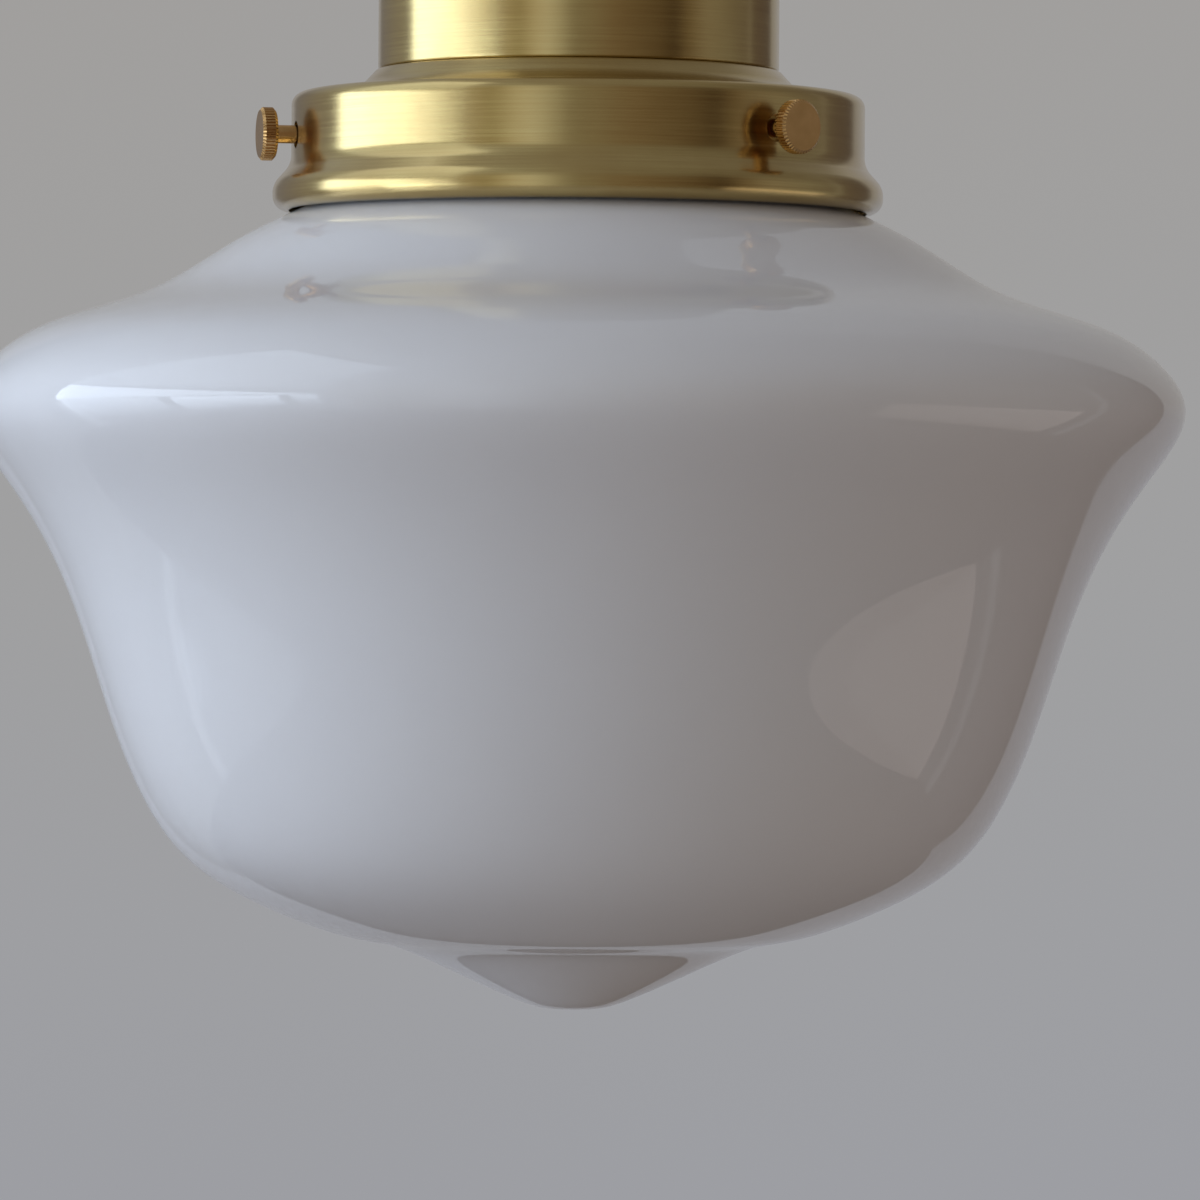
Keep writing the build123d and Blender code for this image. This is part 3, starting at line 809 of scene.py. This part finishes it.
# Polished brass: bare turned metal, smoother and redder than the spun sheet. The face keeps the
# fine rings of the lathe tool. The pattern rides on own_place, the place on the screw as turned.
turned_light = "#D2A974"
turned_dark = "#A9834F"
tool_ring = 0.22
ring_depth = 0.02
stain_size = 2.5
turned_brass, tree = new_material("turned_polished_brass")
own_place = add_node(tree, "Attribute", {"attribute_name": "own_place"})
split = add_node(tree, "SeparateXYZ", inputs={0: own_place.outputs["Vector"]})
across = add_node(tree, "CombineXYZ", inputs={0: split.outputs[0], 1: split.outputs[1]})
reach = add_node(tree, "VectorMath", {"operation": "LENGTH"}, {0: across.outputs[0]})
along = add_node(tree, "Math", {"operation": "ADD"}, {0: reach.outputs["Value"], 1: split.outputs[2]})
ring_place = add_node(tree, "Math", {"operation": "MULTIPLY"}, {0: along.outputs[0], 1: 1 / (tool_ring * MM)})
rings = add_node(
    tree,
    "TexNoise",
    {"noise_dimensions": "1D"},
    {"W": ring_place.outputs[0], "Scale": 1.0, "Detail": 2.0},
)
clouds = add_node(
    tree,
    "TexNoise",
    inputs={"Vector": own_place.outputs["Vector"], "Scale": 1 / (stain_size * MM), "Detail": 5.0},
)
colour = add_node(
    tree,
    "Mix",
    {"data_type": "RGBA"},
    {"Factor": clouds.outputs["Fac"], "A": srgb(turned_dark), "B": srgb(turned_light)},
)
polish = add_node(tree, "MapRange", inputs={"Value": clouds.outputs["Fac"], "To Min": 0.12, "To Max": 0.3})
marks = add_node(
    tree, "Bump", inputs={"Strength": 0.15, "Distance": ring_depth * MM, "Height": rings.outputs["Fac"]}
)
metal = add_node(
    tree,
    "BsdfPrincipled",
    inputs={
        "Base Color": colour.outputs["Result"],
        "Metallic": 1.0,
        "Roughness": polish.outputs[0],
        "Normal": marks.outputs[0],
    },
)
add_node(tree, "OutputMaterial", inputs={"Surface": metal.outputs[0]})

# A screw is turned standing up, with its levels counted from the lamp's axis, and laid down in its
# place. The small hole in its end takes the stem of the soft tip.
knurl_teeth = 45
knurl_depth = 0.25
head_r = 4.35
head_edge = 0.5
head_back = 50.7
head_face = 53.2
face_ring_r = 2.0
knurl_start = 51.15
knurl_end = 52.75
shank_r = 1.5
shank_end = 42.35
stem_hole_r = 0.75
stem_hole_floor = 44.6
for index, angle in enumerate(screw_angles):
    bm = turned(
        [
            (0.0, stem_hole_floor),
            (stem_hole_r, stem_hole_floor),
            (stem_hole_r, shank_end),
            (shank_r - 0.2, shank_end),
            (shank_r, shank_end + 0.2),
            (shank_r, head_back),
            (head_r - head_edge, head_back),
            (head_r, knurl_start),
            (head_r, knurl_end),
            (head_r - head_edge, head_face),
            (face_ring_r, head_face),
            (0.0, head_face),
        ],
        steps=tooth_steps * knurl_teeth,
        closed=False,
    )
    knurl(bm, head_r, knurl_start, knurl_end, knurl_teeth, knurl_depth)
    layer = bm.verts.layers.float_vector.new("own_place")
    for vert in bm.verts:
        vert[layer] = vert.co
    turn = radians(angle)
    laid_down = Matrix(
        ((-sin(turn), 0, cos(turn), 0), (cos(turn), 0, sin(turn), 0), (0, 1, 0, screw_z * MM), (0, 0, 0, 1))
    )
    bmesh.ops.transform(bm, matrix=laid_down, verts=bm.verts)
    screw = f"thumbscrew_{index + 1}"
    add_piece(f"knurled_{screw}", bm, turned_brass, [screw], body=screw, sharp=25)

# Nylon: turned from natural rod, so it is a milky white that lets light in, with fine tool rings.
nylon = mottled(
    "turned_natural_nylon",
    ("#DAD7CC", "#ECEAE1"),
    1.0,
    (0.35, 0.5),
    0.02,
    Subsurface_Weight=0.4,
    Subsurface_Scale=MM,
)
for index in range(len(screw_angles)):
    finish_node(f"screw_tip_{index + 1}", nylon)

# The nuts are round, turned and tapped, riveted behind the wall and left bare.
finish_node("gallery_nuts", plain_brass)


# Glass shade
# The shade is blown opal glass, 3 mm thick, white all through with a fire-polished skin. Its
# ground neck has a thick flange that rests on the three screws.

# Opal glass: milky, so light goes in and comes out softened, under a very smooth glossy skin that
# is never quite flat, because the glass was blown.
opal_thin = "#E9E8EE"
opal_thick = "#F0EFF4"
milk_size = 45.0
ripple_size = 22.0
ripple_depth = 0.4
light_depth = 6.0
opal_glass, tree = new_material("blown_opal_glass")
place = add_node(tree, "TexCoord")
milk = add_node(
    tree,
    "TexNoise",
    inputs={"Vector": place.outputs["Object"], "Scale": 1 / (milk_size * MM), "Detail": 3.0},
)
colour = add_node(
    tree,
    "Mix",
    {"data_type": "RGBA"},
    {"Factor": milk.outputs["Fac"], "A": srgb(opal_thin), "B": srgb(opal_thick)},
)
ripple = add_node(
    tree,
    "TexNoise",
    inputs={"Vector": place.outputs["Object"], "Scale": 1 / (ripple_size * MM), "Detail": 1.0},
)
waves = add_node(
    tree,
    "Bump",
    inputs={"Strength": 0.05, "Distance": ripple_depth * MM, "Height": ripple.outputs["Fac"]},
)
skin = add_node(
    tree,
    "BsdfPrincipled",
    {"subsurface_method": "RANDOM_WALK"},
    {
        "Base Color": colour.outputs["Result"],
        "Roughness": 0.02,
        "IOR": 1.5,
        "Subsurface Weight": 0.5,
        "Subsurface Radius": (1.0, 1.0, 1.0),
        "Subsurface Scale": light_depth * MM,
        "Normal": waves.outputs[0],
    },
)
add_node(tree, "OutputMaterial", inputs={"Surface": skin.outputs[0]})

# The wall's line, from the top of the neck to the tip: (radius, height above the gallery's lip).
neck_r = 40.5
neck_top_h = 13.8
glass_line = [
    (neck_r, neck_top_h),
    (neck_r, 7.7),
    (40.3, 3.1),
    (43.3, 1.3),
    (55.9, -4.2),
    (67.2, -12.5),
    (77.3, -15.8),
    (89.5, -19.3),
    (97.2, -25.4),
    (100.6, -30.7),
    (99.7, -36.7),
    (91.6, -46.7),
    (85.2, -57.7),
    (80.7, -69.4),
    (76.1, -84.7),
    (71.4, -96.2),
    (65.7, -105.3),
    (57.1, -111.7),
    (45.7, -116.7),
    (37.4, -119.5),
    (30.2, -120.2),
    (22.4, -123.7),
    (6.9, -130.9),
    (4.3, -131.1),
    (0.0, -131.1),
]
glass_wall = 3.0
rim_r = 44.0
rim_h = 3.6
rim_edge = 1.1
curve = bpy.data.curves.new("glass_line", "CURVE")
curve.dimensions = "3D"
line = curve.splines.new("NURBS")
line.points.add(len(glass_line) - 1)
for point, (radius, height) in zip(line.points, glass_line):
    point.co = (radius * MM, 0, (lip_z + height) * MM, 1)
line.order_u = 4
line.use_endpoint_u = True
line.resolution_u = 8
drawn_line = bpy.data.objects.new("glass_line", curve)
bm = bmesh.new()
bm.from_mesh(bpy.data.meshes.new_from_object(drawn_line))
bpy.data.objects.remove(drawn_line)
top = max(bm.verts, key=lambda vert: vert.co.z)
rim = bm.verts.new(top.co + Vector((0, 0, rim_h * MM)))
bm.edges.new((top, rim))
bmesh.ops.spin(
    bm,
    geom=bm.verts[:] + bm.edges[:],
    cent=(0, 0, 0),
    axis=(0, 0, 1),
    angle=2 * pi,
    steps=192,
    use_merge=True,
)
bmesh.ops.remove_doubles(bm, verts=bm.verts, dist=weld * MM)
bmesh.ops.recalc_face_normals(bm, faces=bm.faces)
if max(bm.faces, key=lambda face: face.calc_center_median().x).normal.x < 0:
    bmesh.ops.reverse_faces(bm, faces=bm.faces)
bmesh.ops.solidify(bm, geom=bm.faces, thickness=glass_wall * MM)
bmesh.ops.recalc_face_normals(bm, faces=bm.faces)

# The flange is drawn out of the top of the neck, where the extra length stands.
rim_foot_z = lip_z + neck_top_h
band = [
    face
    for face in bm.faces
    if face.calc_center_median().z > rim_foot_z * MM
    and face.calc_center_median().xy.length > (neck_r - 0.5) * MM
]
flange = bmesh.ops.extrude_face_region(bm, geom=band)["geom"]
bmesh.ops.delete(bm, geom=band, context="FACES")
for vert in flange:
    if isinstance(vert, bmesh.types.BMVert):
        vert.co.xy *= rim_r / neck_r
bmesh.ops.recalc_face_normals(bm, faces=bm.faces)
round_off(bm, rim_r, rim_foot_z, rim_edge, 5)
round_off(bm, rim_r, rim_foot_z + rim_h, rim_edge, 5)
add_piece("opal_shade", bm, opal_glass, ["glass_shade"], sharp=50)


# Bulb
# An LED bulb with an E27 cap: a rolled shell, a glass insulator with a soldered contact, a white
# plastic body, a round board of LEDs and a frosted globe.
bulb_crest_r = 13.2
bulb_thread_depth = 0.75
bulb_thread_top_z = -84.2
bulb_thread_foot_z = -99.2
bulb_cap_top_z = -80.5
bulb_cap_foot_z = -102.0
insulator_r = 11.2
bm = threaded(
    knuckle_thread(bulb_crest_r, bulb_thread_depth), lamp_pitch, bulb_thread_top_z, bulb_thread_foot_z
)
carry_on(
    bm,
    bulb_thread_top_z,
    [
        (insulator_r + 1.55, bulb_cap_top_z - 2.9),
        (insulator_r + 1.0, bulb_cap_top_z - 1.5),
        (insulator_r + 0.3, bulb_cap_top_z - 0.1),
        (insulator_r, bulb_cap_top_z),
    ],
)
carry_on(
    bm,
    bulb_thread_foot_z,
    [
        (bulb_crest_r - 0.2, bulb_cap_foot_z + 2.1),
        (bulb_crest_r, bulb_cap_foot_z + 1.7),
        (bulb_crest_r, bulb_cap_foot_z),
    ],
)
thicken(bm, lamp_sheet)
add_piece("rolled_bulb_cap", bm, nickel, ["bulb_cap"], body="bulb", sharp=50)

# Black glass: poured hot into the cap, so it has a fire-polished skin with faint flow streaks.
black_glass = mottled("vitrified_black_glass", ("#0E0D12", "#1D1B24"), 2.5, (0.05, 0.14), 0.02)
finish_node("bulb_insulator", black_glass)

# Solder: tin that set in a drop, so it is a dull silver with a dimpled, slightly oxidised skin.
solder = mottled("set_tin_solder", ("#8E8F92", "#BCBDBF"), 1.0, (0.3, 0.5), 0.03, Metallic=1.0)
finish_node("bulb_contact", solder)

# White plastic: moulded polycarbonate from a spark-eroded tool, so it is an even matt white. The
# board's white solder mask looks the same.
white_plastic = mottled(
    "moulded_white_plastic",
    ("#DEDEDB", "#E9E9E6"),
    0.7,
    (0.42, 0.55),
    0.02,
    Subsurface_Weight=0.1,
    Subsurface_Scale=MM,
)
for name in ("bulb_body", "led_board"):
    finish_node(name, white_plastic)

# Frosted plastic: blow-moulded with a diffusing filler, so light sinks in and it looks like snow.
frosted = mottled(
    "frosted_diffuser_plastic",
    ("#ECECE8", "#F6F6F3"),
    3.0,
    (0.38, 0.5),
    0.01,
    Subsurface_Weight=0.6,
    Subsurface_Radius=(1.0, 1.0, 1.0),
    Subsurface_Scale=4 * MM,
)
finish_node("bulb_globe", frosted)


# Room
# A pale floor under the lamp, a plain grey backdrop behind it, and the soft light of one window on
# the left, with a lighter ceiling above and the dim walls of a room in front and on the right.

# Matt paint: rolled on, so it is even in colour with a faint grain and no gloss.
floor_light = "#9B8D82"
floor_dark = "#918378"
roller_grain = 30.0
floor_z = -900.0
floor_r = 1340.0
floor_paint, tree = new_material("matt_pale_floor_paint")
place = add_node(tree, "TexCoord")
grain = add_node(
    tree,
    "TexNoise",
    inputs={"Vector": place.outputs["Object"], "Scale": 1 / (roller_grain * MM), "Detail": 4.0},
)
colour = add_node(
    tree,
    "Mix",
    {"data_type": "RGBA"},
    {"Factor": grain.outputs["Fac"], "A": srgb(floor_dark), "B": srgb(floor_light)},
)
paint = add_node(tree, "BsdfPrincipled", inputs={"Base Color": colour.outputs["Result"], "Roughness": 0.8})
add_node(tree, "OutputMaterial", inputs={"Surface": paint.outputs[0]})
bm = bmesh.new()
bmesh.ops.create_circle(
    bm, cap_ends=True, segments=96, radius=floor_r * MM, matrix=Matrix.Translation((0, 0, floor_z * MM))
)
floor_mesh = bpy.data.meshes.new("floor")
bm.to_mesh(floor_mesh)
bm.free()
floor_mesh.materials.append(floor_paint)
floor_disc = bpy.data.objects.new("floor", floor_mesh)
bpy.context.scene.collection.objects.link(floor_disc)

# The walls by direction: degrees round the lamp from the viewer towards the window, and the
# colour there. Behind the lamp stands the backdrop.
backdrop_grey = "#A0A0A1"
backdrop_right = -145
backdrop_left = 160
walls = [
    (-180, backdrop_grey),
    (backdrop_right - 1, backdrop_grey),
    (backdrop_right + 1, "#5C534C"),
    (-124, "#6C6360"),
    (-118, "#6F6964"),
    (-116.5, "#A5A5A5"),
    (-115.5, "#A5A5A5"),
    (-114, "#7A7572"),
    (-95, "#8C8A87"),
    (-78, "#938E8B"),
    (-66, "#796D60"),
    (-57, "#493D31"),
    (-48, "#695C4E"),
    (-35, "#796D60"),
    (-20, "#897D71"),
    (-5, "#95918A"),
    (3, "#969590"),
    (11, "#C8CDD0"),
    (18, "#E2E9F0"),
    (25, "#D8D9D7"),
    (34, "#ACA994"),
    (44, "#C4C2BB"),
    (46, "#C4CCD4"),
    (49, "#C4CCD4"),
    (109, "#8E9298"),
    (110.5, "#D8E2EC"),
    (112.5, "#D8E2EC"),
    (114, "#8A8C8E"),
    (124, "#989797"),
    (backdrop_left - 1, "#7A7673"),
    (backdrop_left + 1, backdrop_grey),
    (180, backdrop_grey),
]
world = bpy.data.worlds.new("studio")
bpy.context.scene.world = world
world.use_nodes = True
tree = world.node_tree
tree.nodes.clear()
aim = add_node(tree, "TexCoord")
split = add_node(tree, "SeparateXYZ", inputs={0: aim.outputs["Generated"]})
left = add_node(tree, "Math", {"operation": "MULTIPLY"}, {0: split.outputs[0], 1: -1.0})
near = add_node(tree, "Math", {"operation": "MULTIPLY"}, {0: split.outputs[1], 1: -1.0})
bearing = add_node(tree, "Math", {"operation": "ARCTAN2"}, {0: left.outputs[0], 1: near.outputs[0]})
share = add_node(tree, "MapRange", inputs={"Value": bearing.outputs[0], "From Min": -pi, "From Max": pi})
round_walls = add_node(tree, "ValToRGB", inputs={"Fac": share.outputs[0]})


def set_stops(ramp, stops):
    """Gives a colour ramp its stops: (place from 0 to 1, sRGB hex code)."""
    for number, (place, code) in enumerate(stops):
        stop = ramp.elements[number] if number < 2 else ramp.elements.new(1.0)
        stop.position = place
        stop.color = srgb(code)


set_stops(round_walls.color_ramp, [((angle + 180) / 360, code) for angle, code in walls])

# Above the walls comes the ceiling, lit by the window on its left. Heights here are the upward
# share of a direction, from 0 for level to 1 for straight up.
wall_top = 0.25
ceiling_edge = 0.6
leftward = add_node(tree, "MapRange", inputs={"Value": split.outputs[0], "From Min": 1.0, "From Max": -1.0})
ceiling = add_node(tree, "ValToRGB", inputs={"Fac": leftward.outputs[0]})
set_stops(ceiling.color_ramp, [(0.0, "#716B65"), (0.5, "#979593"), (1.0, "#C4CDD6")])
upward = add_node(
    tree, "MapRange", inputs={"Value": split.outputs[2], "From Min": wall_top, "From Max": ceiling_edge}
)
room_light = add_node(
    tree,
    "Mix",
    {"data_type": "RGBA"},
    {"Factor": upward.outputs[0], "A": round_walls.outputs["Color"], "B": ceiling.outputs["Color"]},
)

# The backdrop is what the camera sees all round. Metal and glass show it too, where it stands. It
# changes a little in tone over a band near the lamp's level.
backdrop_band = 0.09
near_level = add_node(
    tree,
    "MapRange",
    inputs={"Value": split.outputs[2], "From Min": -backdrop_band, "From Max": backdrop_band},
)
backdrop = add_node(tree, "ValToRGB", inputs={"Fac": near_level.outputs[0]})
set_stops(backdrop.color_ramp, [(0.0, "#9D9EA3"), (0.5, backdrop_grey), (1.0, "#A19F9D")])
ray = add_node(tree, "LightPath")
mirrored = add_node(
    tree,
    "Math",
    {"operation": "MAXIMUM"},
    {0: ray.outputs["Is Glossy Ray"], 1: ray.outputs["Is Transmission Ray"]},
)
offset = add_node(
    tree,
    "Math",
    {"operation": "SUBTRACT"},
    {0: bearing.outputs[0], 1: radians((backdrop_left + backdrop_right) / 2)},
)
turned_away = add_node(tree, "Math", {"operation": "ABSOLUTE"}, {0: offset.outputs[0]})
behind = add_node(
    tree,
    "Math",
    {"operation": "GREATER_THAN"},
    {0: turned_away.outputs[0], 1: radians((backdrop_left - backdrop_right) / 2)},
)
mirrored_behind = add_node(
    tree, "Math", {"operation": "MULTIPLY"}, {0: mirrored.outputs[0], 1: behind.outputs[0]}
)
shows = add_node(
    tree, "Math", {"operation": "MAXIMUM"}, {0: ray.outputs["Is Camera Ray"], 1: mirrored_behind.outputs[0]}
)
seen = add_node(
    tree,
    "Mix",
    {"data_type": "RGBA"},
    {"Factor": shows.outputs[0], "A": room_light.outputs["Result"], "B": backdrop.outputs["Color"]},
)
glow = add_node(tree, "Background", inputs={"Color": seen.outputs["Result"], "Strength": 1.0})
add_node(tree, "OutputWorld", inputs={"Surface": glow.outputs[0]})

# The window's wall runs away to the left of the viewer. Its upper sash is bright and fills a plane,
# the lower panes are parted by bars and get dimmer downwards, and open sky shines in from above.
# The last pane is a low warm glow on the right. Each pane has the bearing that its plane faces
# from, the bearings that it spans, its foot and head above the lamp's middle, its strength at foot
# and head, and its colour.
window_away = 1000.0
lamp_middle_z = -165.0
daylight = "#DCECFF"
lamplight = "#FFEEE6"
panes = [
    (135, 47.0, 108.5, -5.0, 372.0, 3.9, 3.7, daylight),
    (90, 79.5, 106.5, -420.0, -8.0, 0.3, 2.8, daylight),
    (90, 54.0, 76.5, -420.0, -8.0, 0.8, 5.2, daylight),
    (90, 46.5, 51.5, -420.0, -8.0, 0.5, 3.8, daylight),
    (90, 46.0, 108.5, 330.0, 1900.0, 0.5, 1.2, daylight),
    (-80, -106.0, -58.0, -620.0, -150.0, 0.45, 0.6, lamplight),
]
for number, (facing, start, stop, foot, head, foot_strength, head_strength, light) in enumerate(panes):
    low_side = window_away * tan(radians(start - facing))
    high_side = window_away * tan(radians(stop - facing))
    pane = bpy.data.lights.new(f"window_pane_{number + 1}", "AREA")
    pane.shape = "RECTANGLE"
    pane.size = (high_side - low_side) * MM
    pane.size_y = (head - foot) * MM
    pane.energy = pi * pane.size * pane.size_y
    pane.use_nodes = True
    pane_tree = pane.node_tree
    pane_tree.nodes.clear()
    across = add_node(pane_tree, "NewGeometry")
    up = add_node(pane_tree, "SeparateXYZ", inputs={0: across.outputs["Parametric"]})
    rise = add_node(
        pane_tree,
        "MapRange",
        inputs={"Value": up.outputs[1], "To Min": foot_strength, "To Max": head_strength},
    )
    shine = add_node(pane_tree, "Emission", inputs={"Color": srgb(light), "Strength": rise.outputs[0]})
    add_node(pane_tree, "OutputLight", inputs={"Surface": shine.outputs[0]})
    lamp = bpy.data.objects.new(pane.name, pane)
    bpy.context.scene.collection.objects.link(lamp)
    lamp.visible_camera = False
    middle = Vector((-(low_side + high_side) / 2, -window_away, lamp_middle_z + (foot + head) / 2)) * MM
    upright = Matrix.Translation(middle) @ Matrix.Rotation(radians(90), 4, "X")
    lamp.matrix_world = Matrix.Rotation(-radians(facing), 4, "Z") @ upright

# The camera stands a little over a metre in front, level with the glass, with a long lens. It
# looks down and is rolled by a fraction of a degree.
camera_place = (4.1, -1150.0, -162.9)
camera_down = 0.205
camera_roll = 0.38
camera_data = bpy.data.cameras.new("camera")
camera_data.sensor_width = 36.0
camera_data.lens = 209.4
camera = bpy.data.objects.new("camera", camera_data)
bpy.context.scene.collection.objects.link(camera)
camera.matrix_world = (
    Matrix.Translation(Vector(camera_place) * MM)
    @ Matrix.Rotation(radians(90 - camera_down), 4, "X")
    @ Matrix.Rotation(radians(camera_roll), 4, "Z")
)
bpy.context.scene.camera = camera
bpy.context.scene.view_settings.view_transform = "Standard"
